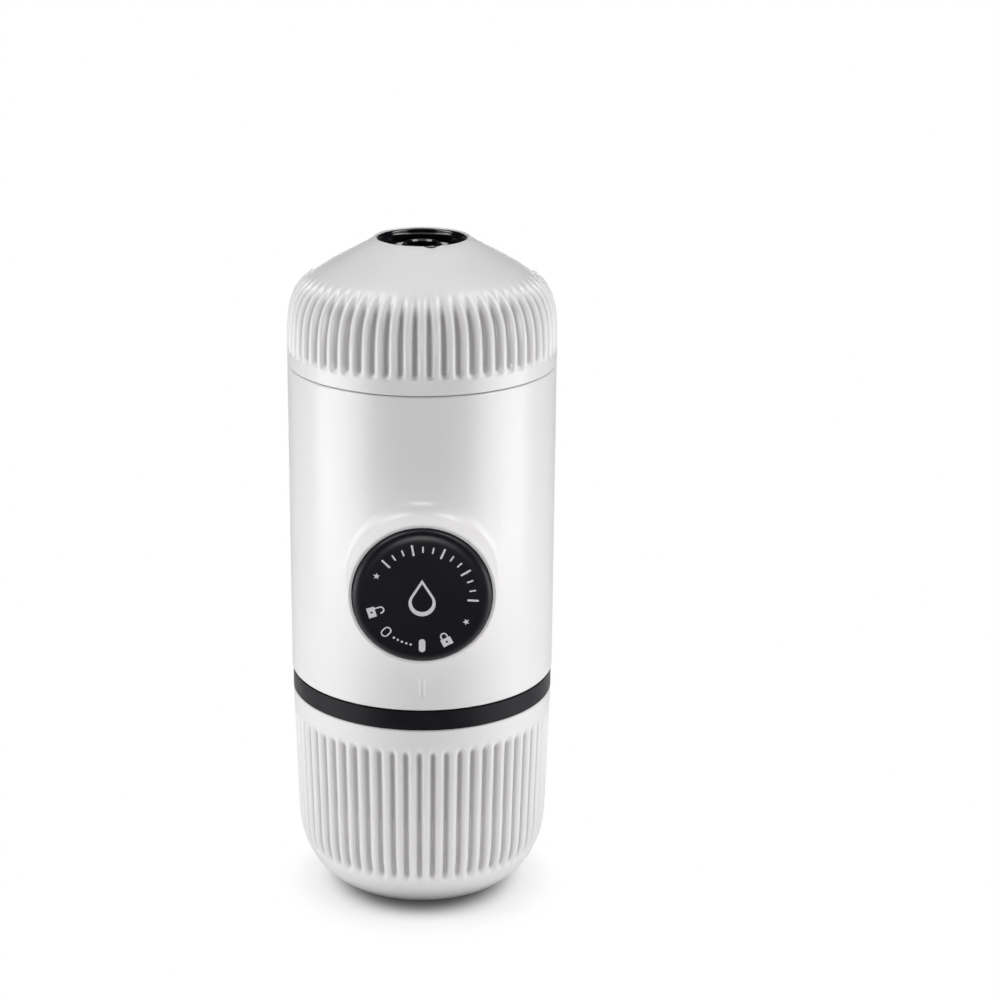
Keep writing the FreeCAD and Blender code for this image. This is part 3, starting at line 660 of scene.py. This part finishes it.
def clear_plastic(name, colour):
    """Smoked clear plastic with flow marks and fine scuffs."""
    material, tree, shader = new_finish(name)
    flow = spread(tree, noise(tree, scale=60, detail=3, stretch=(1, 1, 0.3)), 0, 1)
    tone = mixed(tree, flow, scaled(colour, 0.94), scaled(colour, 1.05))
    tree.links.new(tone, shader.inputs["Base Color"])
    scuffs = spread(tree, noise(tree, scale=420, detail=5), 0.1, 0.28, start=0.4, end=0.8)
    tree.links.new(scuffs, shader.inputs["Roughness"])
    bump(tree, shader, noise(tree, scale=250, detail=3), distance=1e-5)
    shader.inputs["Transmission Weight"].default_value = 0.75
    shader.inputs["IOR"].default_value = 1.54
    return material


def printed(name, colour):
    """Pad-printed ink: thin, matt and a little uneven."""
    material, tree, shader = new_finish(name)
    ink = spread(tree, noise(tree, scale=2600, detail=3), 0, 1)
    tone = mixed(tree, ink, scaled(colour, 0.9), scaled(colour, 1.04))
    tree.links.new(tone, shader.inputs["Base Color"])
    wear = spread(tree, noise(tree, scale=900, detail=2), 0.42, 0.62)
    tree.links.new(wear, shader.inputs["Roughness"])
    bump(tree, shader, noise(tree, scale=5200, detail=2), distance=4e-6)
    return material


def make_finish(slot):
    """Material of a slot, from its maker, its colour and its numbers."""
    colours = bpy.context.scene.espresso_colours
    recipes = {
        "white_shell": (soft_shell, colours.shell, {}),
        "black_shell": (moulded, colours.knob, {"roughness": 0.305, "grain": 2.5e-6, "shine": 0.3}),
        "black_gloss": (
            moulded, colours.spout, {"roughness": 0.12, "grain": 1e-6, "grain_scale": 2500, "coat": 0.5}
        ),
        "tank_plastic": (clear_plastic, colours.tank, {}),
        "grey_frame": (moulded, GREY_FRAME, {"roughness": 0.52, "grain": 1e-5}),
        "white_acetal": (moulded, WHITE_ACETAL, {"roughness": 0.34, "grain": 4e-6}),
        "steel": (brushed, STEEL, {"roughness": 0.34, "stretch": (1, 1, 0.05)}),
        "screw_steel": (brushed, SCREW_STEEL, {"roughness": 0.36, "stretch": (1, 1, 0.3)}),
        "silicone": (elastomer, SILICONE, {"roughness": 0.5, "pebbles": 8e-6}),
        "black_rubber": (elastomer, colours.band, {"roughness": 0.32, "pebbles": 3e-6}),
        "print": (printed, colours.print, {}),
    }
    maker, colour, numbers = recipes[slot]
    return maker(slot, colour, **numbers)


def finish(slot):
    """The one material of a slot, made the first time it is asked for."""
    name = f"espresso_{slot}"
    made = bpy.data.materials.get(name)
    if made is None:
        made = make_finish(slot)
        made.name = name
    return made


class ESPRESSO_OT_inner_finishes(bpy.types.Operator):
    """Give every piece of the frame the finish of its material slot"""

    bl_idname = "espresso.inner_finishes"
    bl_label = "Finish the inner pieces"

    def execute(self, context):
        slots = {part["node"]: part["material_slot"] for part in frame["record"]["subparts"]}
        for name, piece in frame["nodes"].items():
            for holder in piece.material_slots:
                holder.material = finish(slots[name])
        return {"FINISHED"}


# ---- ribbed grips ----
def ease(value, start, end):
    """Smooth step from 0 at start to 1 at end."""
    share = min(max((value - start) / (end - start), 0), 1)
    return share * share * (3 - 2 * share)


def fade_out(height, foot, top):
    """1 between two run-outs, each given as its lower and upper end, and 0 beyond them."""
    return ease(height, *foot) * (1 - ease(height, *top))


def groove_amount(place, grip, turn):
    """How far a place lies in a groove, from 0 on a rib to 1 on the groove's centre line."""
    pitch = 2 * math.pi / grip.rib_count
    angle = math.atan2(place.x, -place.y) - turn
    offset = abs((angle % pitch) - pitch / 2)
    half_width = pitch * grip.groove_share / 2
    if offset >= half_width:
        return 0.0
    return 0.5 + 0.5 * math.cos(math.pi * offset / half_width)


def head_outline():
    """Dome with a straight skirt, a sloping lining and the hole for the spout."""
    skirt = HEAD_TOP - SKIRT_DROP
    row_start, row_end = [(HEAD_RADIUS, skirt - drop) for drop in SKIRT_ROWS]
    return [
        corner(HEAD_RADIUS - EDGE, HEAD_FOOT),
        corner(HEAD_RADIUS, HEAD_FOOT + EDGE),
        *corners(row_start, row_end, SKIRT_ROW_COUNT),
        bend((HEAD_RADIUS, skirt), after=(0, 0.0161)),
        bend((HOLE_RADIUS + HOLE_BEVEL + HOLE_RIM, HEAD_TOP), before=(0.0186, -0.0098)),
        corner(HOLE_RADIUS + HOLE_BEVEL, HEAD_TOP),
        corner(HOLE_RADIUS, HEAD_TOP - HOLE_BEVEL),
        corner(HOLE_RADIUS, HEAD_TOP - HOLE_DROP),
        corner(BORE_RADIUS, HEAD_TOP - BORE_TOP_DROP),
        corner(BORE_RADIUS, HEAD_TOP - BORE_FOOT_DROP),
        corner(LINING_FOLD_RADIUS, HEAD_TOP - LINING_FOLD_DROP),
        corner(HEAD_INSIDE, HEAD_TOP - LINING_DROP),
        corner(HEAD_INSIDE, HEAD_FOOT + EDGE),
        corner(HEAD_INSIDE - EDGE, HEAD_FOOT),
    ]


def nick_amount(place):
    """How far a place on the rim is pressed down by the round nick in it, from 0 to 1."""
    across = place.x * math.cos(NICK_TURN) + place.y * math.sin(NICK_TURN)
    along = place.x * math.sin(NICK_TURN) - place.y * math.cos(NICK_TURN)
    if along < 0 or abs(across) > NICK_RADIUS or place.z < HEAD_TOP - NICK_REACH:
        return 0.0
    axis = HEAD_TOP + NICK_RADIUS - NICK_DEPTH
    floor = axis - math.sqrt(NICK_RADIUS**2 - across**2)
    return min(max((place.z - floor) / NICK_DEPTH, 0), 1)


class ESPRESSO_OT_head_shell(bpy.types.Operator):
    """Model the ribbed dome with the hole and the nick in its rim"""

    bl_idname = "espresso.head_shell"
    bl_label = "Model the head shell"

    def execute(self, context):
        grip = context.scene.espresso_grip

        def pressed(place):
            inner = place.xy.length < HEAD_INSIDE + HEAD_INSIDE_MARGIN
            if inner and place.z < HEAD_TOP - HEAD_INSIDE_DROP:
                return 0.0
            fade = fade_out(place.z, HEAD_GROOVE_FOOT, HEAD_GROOVE_TOP)
            return groove_amount(place, grip, 0) * fade

        piece = ribbed("head_shell", head_outline(), grip, pressed, curve_steps=44)
        press_in(piece, nick_amount, NICK_DEPTH, "Z")
        finish_piece(piece, "outlet_head", "white_shell", ["outlet_head"], smooth_angle=40)
        return {"FINISHED"}


def lip_outline():
    """Section of the lip: a flat crest that rolls down to a seat on the lining."""
    crest = HEAD_TOP - LIP_CREST_DROP
    roll = (LIP_BEND_RADIUS, HEAD_TOP - LIP_BEND_DROP)
    foot = HEAD_TOP - LIP_FOOT_DROP
    return [
        corner(LIP_OUTSIDE, foot),
        corner(LIP_OUTSIDE, crest - LIP_BEVEL),
        bend((LIP_OUTSIDE - LIP_BEVEL, crest), after=(-0.0002, 0)),
        bend(roll, before=(0.00015, 0.0004), after=(-0.00015, -0.0004)),
        bend((LIP_INSIDE, HEAD_TOP - LIP_SEAT_DROP), before=(0.0005, 0)),
        corner(LIP_INSIDE, foot),
    ]


class ESPRESSO_OT_bowl_lip(bpy.types.Operator):
    """Model the glossy lip that carries the black lining up to the rim of the hole"""

    bl_idname = "espresso.bowl_lip"
    bl_label = "Model the lip of the bowl"

    def execute(self, context):
        piece = turned("bowl_lip", lip_outline(), standing, ORIGIN, UP, closed=True, curve_steps=12)
        finish_piece(piece, "outlet_head", "black_gloss")
        return {"FINISHED"}


def cup_side(height, wall=0.0):
    """Point on the cup's tapered side, or that far inside it."""
    slope = (CUP_RADIUS - CUP_WAIST_RADIUS) / (CUP_RIM - CUP_WAIST)
    return (CUP_RADIUS - wall - slope * (CUP_RIM - height), height)


def cup_outline():
    """Tapered cup with a rounded foot and a plain inside."""
    fine_start, fine_end, row_start, row_end = map(cup_side, (*CUP_FINE_ROWS, *CUP_ROWS))
    inner_corner = CUP_WAIST - CUP_FLOOR - CUP_CORNER_LIFT
    corner_centre = (CUP_WAIST_RADIUS - CUP_WALL - inner_corner, CUP_FLOOR + inner_corner)
    return [
        corner(CUP_RADIUS - EDGE, CUP_RIM),
        corner(CUP_RADIUS, CUP_RIM - EDGE),
        *corners(fine_start, fine_end, CUP_FINE_ROW_COUNT),
        *corners(row_start, row_end, CUP_ROW_COUNT),
        bend((CUP_WAIST_RADIUS, CUP_WAIST), after=(-0.00025, -0.0085)),
        bend((CUP_FOOT_RADIUS, CUP_FOOT), before=(0.0033, 0.0024)),
        corner(CUP_STAND_RADIUS, CUP_FOOT),
        corner(CUP_HOLLOW_RADIUS, CUP_HOLLOW),
        corner(0, CUP_HOLLOW),
        corner(0, CUP_FLOOR),
        *arc_corners(corner_centre, inner_corner, -90, 0, CUP_CORNER_STEPS),
        corner(*cup_side(CUP_WAIST, CUP_WALL)),
        corner(*cup_side(CUP_RIM - EDGE, CUP_WALL)),
        corner(CUP_RADIUS - CUP_WALL + EDGE, CUP_RIM),
    ]


class ESPRESSO_OT_cup_shell(bpy.types.Operator):
    """Model the ribbed cup"""

    bl_idname = "espresso.cup_shell"
    bl_label = "Model the cup"

    def execute(self, context):
        grip = context.scene.espresso_grip

        def pressed(place):
            reach = place.xy.length
            if reach < CUP_UNDERSIDE or (place.z > CUP_WAIST and reach <= CUP_OUTER_WALL):
                return 0.0
            fade = fade_out(place.z, CUP_GROOVE_FOOT, CUP_GROOVE_TOP)
            return groove_amount(place, grip, grip.cup_turn) * fade

        piece = ribbed("cup_shell", cup_outline(), grip, pressed, curve_steps=36)
        finish_piece(piece, "cup", "white_shell", ["cup"], smooth_angle=40)
        return {"FINISHED"}


# ---- piston knob ----
def knob_outline(face_radius, print_depth):
    """Half section of the knob: its face lies under the print and eases into a rounded rim."""
    face = KNOB_FRONT + print_depth
    rim = KNOB_FRONT + KNOB_RIM_DEPTH
    return [
        corner(0, face),
        corner(face_radius - KNOB_FLAT_MARGIN, face),
        bend((face_radius - KNOB_FALL_MARGIN, face + KNOB_FALL), after=(0.0016, 0.00002)),
        bend((KNOB_RADIUS - KNOB_RIM_LEAN, rim), before=(-0.00015, -0.00075), after=(0.0001, 0.0004)),
        bend((KNOB_RADIUS, rim + KNOB_SIDE_DEPTH), before=(0, -0.0004)),
        corner(KNOB_RADIUS, KNOB_BACK - EDGE),
        corner(KNOB_RADIUS - EDGE, KNOB_BACK),
        corner(0, KNOB_BACK),
    ]


class ESPRESSO_OT_knob(bpy.types.Operator):
    """Model the round piston knob with its soft rim"""

    bl_idname = "espresso.knob"
    bl_label = "Model the knob"

    def execute(self, context):
        sizes = context.scene.espresso_knob
        outline = knob_outline(sizes.face_radius, sizes.print_depth)
        piece = turned(
            "knob_cap", outline, lying, KNOB_CENTRE, PISTON_AXIS, closed=False, curve_steps=18
        )
        finish_piece(piece, "knob", "black_shell", ["piston_knob"], smooth_angle=40)
        return {"FINISHED"}


# ---- printed marks ----
def polar(radius, angle, centre=(0, 0)):
    """Point at a radius and an angle from a centre."""
    return (centre[0] + radius * math.cos(angle), centre[1] + radius * math.sin(angle))


def ring_points(radius, count, centre=(0, 0)):
    """Points all round a circle."""
    return [polar(radius, 2 * math.pi * step / count, centre) for step in range(count)]


def arc_points(radius, count, centre, start, sweep):
    """Points along an arc, both ends included."""
    return [polar(radius, start + sweep * step / (count - 1), centre) for step in range(count)]


def pill_points(width, length):
    """Bar with round ends."""
    half = width / 2
    middle = length / 2 - half
    top = arc_points(half, END_POINTS, (0, middle), 0, math.pi)
    return top + arc_points(half, END_POINTS, (0, -middle), math.pi, math.pi)


def star_points(radius):
    """Star with one point upwards."""
    reaches = [radius, radius * STAR_WAIST] * STAR_POINTS
    turn = math.pi / STAR_POINTS
    return [polar(reach, math.pi / 2 + step * turn) for step, reach in enumerate(reaches)]


def drop_points(radius, tip):
    """Drop: a round belly with two straight flanks that meet in a tip, its middle a little low."""
    low = (radius - tip) / 2
    lean = math.acos(radius / tip)
    start = math.pi / 2 + lean
    belly = arc_points(radius, BELLY_POINTS, (0, low), start, 2 * (math.pi - lean))
    return [*belly, (0, low + tip)]


def padlock_splines(width, opened):
    """Padlock: a block, a keyhole and a shackle, lifted off at one side if it is opened."""
    half = width / 2
    low = -width * 0.55
    high = width * 0.2
    block = [(-half, low), (half, low), (half, high), (-half, high)]
    keyhole = ring_points(width * 0.11, DOT_POINTS, (0, (low + high) / 2))
    outer = width * 0.36
    inner = width * 0.22
    rise = high + width * (0.5 if opened else 0.22)
    foot = rise - width * 0.1 if opened else high
    shackle = [
        *arc_points(outer, END_POINTS, (0, rise), 0, math.pi),
        (-outer, high),
        (-inner, high),
        *arc_points(inner, END_POINTS, (0, rise), math.pi, -math.pi),
        (inner, foot),
        (outer, foot),
    ]
    return [block, keyhole, shackle]


def on_circle(points, degrees, reach):
    """Mark moved out to its place on the circle, top outwards, or inwards if reach is negative."""
    turn = math.radians(degrees) - math.pi / 2
    cosine, sine = math.cos(turn), math.sin(turn)
    return [
        (x * cosine - (y + reach) * sine, x * sine + (y + reach) * cosine) for x, y in points
    ]


def mark_splines(reach):
    """All marks on the knob's face, as closed outlines about its centre."""
    splines = [on_circle(pill_points(*BAR_SIZE), BAR_ANGLE, reach)]
    for size in (RING_OUTER, RING_INNER):
        splines.append(on_circle(pill_points(*size), RING_ANGLE, reach))
    dot = ring_points(DOT_RADIUS, DOT_POINTS)
    for step in range(DOT_COUNT):
        splines.append(on_circle(dot, DOT_START + DOT_STEP * step, reach))
    for degrees in STAR_ANGLES:
        splines.append(on_circle(star_points(STAR_RADIUS), degrees, reach))
    for opened, degrees in ((False, SHUT_PADLOCK_ANGLE), (True, OPEN_PADLOCK_ANGLE)):
        for outline in padlock_splines(PADLOCK_WIDTH, opened):
            splines.append(on_circle(outline, degrees + 180, -reach))
    for step in range(TICK_COUNT):
        size = SHORT_TICK if step % LONG_TICK_EVERY else LONG_TICK
        splines.append(on_circle(pill_points(*size), TICK_START + TICK_STEP * step, reach))
    return [*splines, drop_points(*DROP_OUTER), drop_points(*DROP_INNER)]


def draw_marks(name, splines, thickness):
    """Fill flat closed outlines and give them a thickness."""
    select_none()
    bpy.ops.curve.primitive_bezier_circle_add()
    curve = bpy.context.object
    curve.data.dimensions = "2D"
    curve.data.fill_mode = "BOTH"
    curve.data.extrude = thickness / 2
    curve.data.splines.clear()
    for points in splines:
        spline = curve.data.splines.new("POLY")
        spline.points.add(len(points) - 1)
        for knot, (x, y) in zip(spline.points, points):
            knot.co = (x, y, 0, 1)
        spline.use_cyclic_u = True
    return curve_to_mesh(name)


class ESPRESSO_OT_knob_marks(bpy.types.Operator):
    """Print the marks on the knob: a drop in a ring of ticks, dots, stars, pills and padlocks"""

    bl_idname = "espresso.knob_marks"
    bl_label = "Print the knob marks"

    def execute(self, context):
        sizes = context.scene.espresso_knob
        piece = draw_marks("knob_print", mark_splines(sizes.mark_circle), sizes.print_depth)
        piece.rotation_euler = (math.radians(90), 0, 0)
        piece.location = (0, KNOB_FRONT + sizes.print_depth / 2, KNOB_HEIGHT)
        finish_piece(piece, "knob", "black_shell", smooth_angle=20)
        # the ink first takes the knob's finish, then a finish of its own replaces it
        piece.data.materials[0] = finish("print")
        return {"FINISHED"}


# ---- studio ----
def add_lamp(name, place, target, size, power):
    """Rectangular lamp that faces its target."""
    select_none()
    bpy.ops.object.light_add(type="AREA", location=place)
    lamp = bpy.context.object
    lamp.name = name
    lamp.data.shape = "RECTANGLE"
    lamp.data.size, lamp.data.size_y = size
    lamp.data.energy = power
    aim = Vector(target) - Vector(place)
    lamp.rotation_euler = aim.to_track_quat("-Z", "Y").to_euler()


def white_surround(room_light):
    """World that is white to the camera, nearly black in reflections and a dim room otherwise."""
    world = bpy.data.worlds.new("studio")
    bpy.context.scene.world = world
    world.use_nodes = True
    tree = world.node_tree
    background = first_node(tree, "BACKGROUND")
    background.inputs["Color"].default_value = (1, 1, 1, 1)
    rays = node(tree, "ShaderNodeLightPath").outputs
    place = node(tree, "ShaderNodeTexCoord")
    split = node(tree, "ShaderNodeSeparateXYZ")
    tree.links.new(place.outputs["Generated"], split.inputs["Vector"])
    behind = spread(tree, split.outputs["Y"], *BEHIND_LIGHT, *BEHIND_FADE)
    seen = combined(tree, "MAXIMUM", rays["Is Glossy Ray"], rays["Is Transmission Ray"])
    mirrored = node(tree, "ShaderNodeMix", data_type="FLOAT")
    mirrored.inputs["A"].default_value = room_light
    tree.links.new(seen, mirrored.inputs["Factor"])
    tree.links.new(behind, mirrored.inputs["B"])
    shown = node(tree, "ShaderNodeMix", data_type="FLOAT")
    shown.inputs["B"].default_value = 1.0
    tree.links.new(rays["Is Camera Ray"], shown.inputs["Factor"])
    tree.links.new(mirrored.outputs["Result"], shown.inputs["A"])
    tree.links.new(shown.outputs["Result"], background.inputs["Strength"])


def away_from_foot(tree, start, end):
    """Smooth rise from 0 to 1 between two distances from a point just before the foot's middle."""
    place = node(tree, "ShaderNodeTexCoord")
    shift = node(tree, "ShaderNodeVectorMath", operation="ADD")
    shift.inputs[1].default_value = FOOT_SHIFT
    length = node(tree, "ShaderNodeVectorMath", operation="LENGTH")
    tree.links.new(place.outputs["Object"], shift.inputs[0])
    tree.links.new(shift.outputs["Vector"], length.inputs[0])
    return spread(tree, length.outputs["Value"], 0, 1, start, end, curve="SMOOTHSTEP")


def before_object(tree):
    """1 on the strip of floor well in front of the object, where it is painted dark, 0 elsewhere, with
    soft edges.
    """
    place = node(tree, "ShaderNodeTexCoord")
    split = node(tree, "ShaderNodeSeparateXYZ")
    tree.links.new(place.outputs["Object"], split.inputs["Vector"])
    across = combined(tree, "ABSOLUTE", split.outputs["X"])
    strip = spread(tree, across, 1, 0, *STRIP_SIDE_FADE)
    far = spread(tree, split.outputs["Y"], 1, 0, *STRIP_FRONT_FADE)
    return combined(tree, "MULTIPLY", strip, far)


def floor_finish():
    """Pale polished floor with a painted shadow round the foot, painted dark far in front, and plain
    white round about.
    """
    material, tree, shader = new_finish("studio_floor")
    front = before_object(tree)
    grain = spread(tree, noise(tree, scale=30, detail=3), 0, 1)
    pale = mixed(tree, grain, *FLOOR_TONES)
    # painted shadow: the floor's colour darkens round the foot, on top of the lamps' own shade
    tone = mixed(tree, away_from_foot(tree, *CONTACT_SHADOW_FADE), CONTACT_SHADOW_PAINT, pale)
    # painted dark strip far in front: reflections in the object see it, while the camera sees plain
    # white there
    tree.links.new(mixed(tree, front, tone, DARK_STRIP_PAINT), shader.inputs["Base Color"])
    polish = spread(tree, noise(tree, scale=90, detail=3), 0.06, 0.1)
    tree.links.new(combined(tree, "MAXIMUM", polish, front), shader.inputs["Roughness"])
    bump(tree, shader, noise(tree, scale=700, detail=2), distance=1e-6)
    shader.inputs["Specular IOR Level"].default_value = 0.5
    rays = node(tree, "ShaderNodeLightPath").outputs
    glow = node(tree, "ShaderNodeEmission", Strength=1.0)
    blend = node(tree, "ShaderNodeMixShader")
    shown = combined(tree, "MULTIPLY", rays["Is Camera Ray"], away_from_foot(tree, *WHITE_FADE))
    tree.links.new(shown, blend.inputs["Fac"])
    tree.links.new(shader.outputs["BSDF"], blend.inputs[1])
    tree.links.new(glow.outputs["Emission"], blend.inputs[2])
    output = first_node(tree, "OUTPUT_MATERIAL")
    tree.links.new(blend.outputs["Shader"], output.inputs["Surface"])
    return material


def add_floor():
    """Round floor that the object stands on."""
    select_none()
    bpy.ops.mesh.primitive_circle_add(
        vertices=FLOOR_SIDES, radius=FLOOR_RADIUS, fill_type="NGON", location=(0, 0, 0)
    )
    floor = bpy.context.object
    floor.name = "studio_floor"
    floor.data.materials.append(floor_finish())


def add_lamps(studio):
    """Lamps at both sides, then those in the middle."""
    for side in (-1, 1):
        for name, (x, y, z), target, size, power in SIDE_LAMPS:
            add_lamp(name, (x * side, y, z), target, size, getattr(studio, power))
    for name, place, target, size, power in MIDDLE_LAMPS:
        add_lamp(name, place, target, size, getattr(studio, power))


def add_camera():
    """Camera before the object, looking a little down on it."""
    bpy.ops.object.camera_add(location=CAMERA_PLACE, rotation=(CAMERA_TILT, 0, 0))
    camera = bpy.context.object
    camera.data.lens = CAMERA_LENS
    camera.data.sensor_width = CAMERA_SENSOR
    camera.data.shift_x, camera.data.shift_y = CAMERA_SHIFT
    camera.data.clip_start = CAMERA_NEAR
    bpy.context.scene.camera = camera


class ESPRESSO_OT_studio(bpy.types.Operator):
    """Set the floor, the soft lamps, the surround and the camera"""

    bl_idname = "espresso.studio"
    bl_label = "Set up the studio"

    def execute(self, context):
        studio = context.scene.espresso_studio
        add_floor()
        white_surround(studio.room_light)
        add_lamps(studio)
        add_camera()
        context.scene.view_settings.view_transform = "Standard"
        return {"FINISHED"}


class ESPRESSO_PT_panel(bpy.types.Panel):
    """Buttons and sizes for dressing the espresso maker"""

    bl_idname = "ESPRESSO_PT_panel"
    bl_label = "Espresso maker"
    bl_space_type = "VIEW_3D"
    bl_region_type = "UI"
    bl_category = "Espresso maker"

    def draw(self, context):
        for group in GROUPS:
            box = self.layout.box()
            holder = getattr(context.scene, group)
            for name in holder.bl_rna.properties.keys():
                if name not in ("name", "rna_type"):
                    box.prop(holder, name)
        for operator in OPERATORS:
            self.layout.operator(operator.bl_idname)


GROUPS = {
    "espresso_grip": EspressoGripSizes,
    "espresso_knob": EspressoKnobSizes,
    "espresso_colours": EspressoColours,
    "espresso_studio": EspressoStudioSizes,
}
OPERATORS = [
    ESPRESSO_OT_inner_finishes,
    ESPRESSO_OT_head_shell,
    ESPRESSO_OT_bowl_lip,
    ESPRESSO_OT_cup_shell,
    ESPRESSO_OT_knob,
    ESPRESSO_OT_knob_marks,
    ESPRESSO_OT_studio,
]


def register():
    for name, group in GROUPS.items():
        bpy.utils.register_class(group)
        setattr(bpy.types.Scene, name, PointerProperty(type=group))
    for item in [*OPERATORS, ESPRESSO_PT_panel]:
        bpy.utils.register_class(item)


def unregister():
    for item in [ESPRESSO_PT_panel, *reversed(OPERATORS)]:
        bpy.utils.unregister_class(item)
    for name, group in GROUPS.items():
        delattr(bpy.types.Scene, name)
        bpy.utils.unregister_class(group)


def main():
    register()
    for operator in OPERATORS:
        family, name = operator.bl_idname.split(".")
        getattr(getattr(bpy.ops, family), name)()


if __name__ == "__main__":
    main()
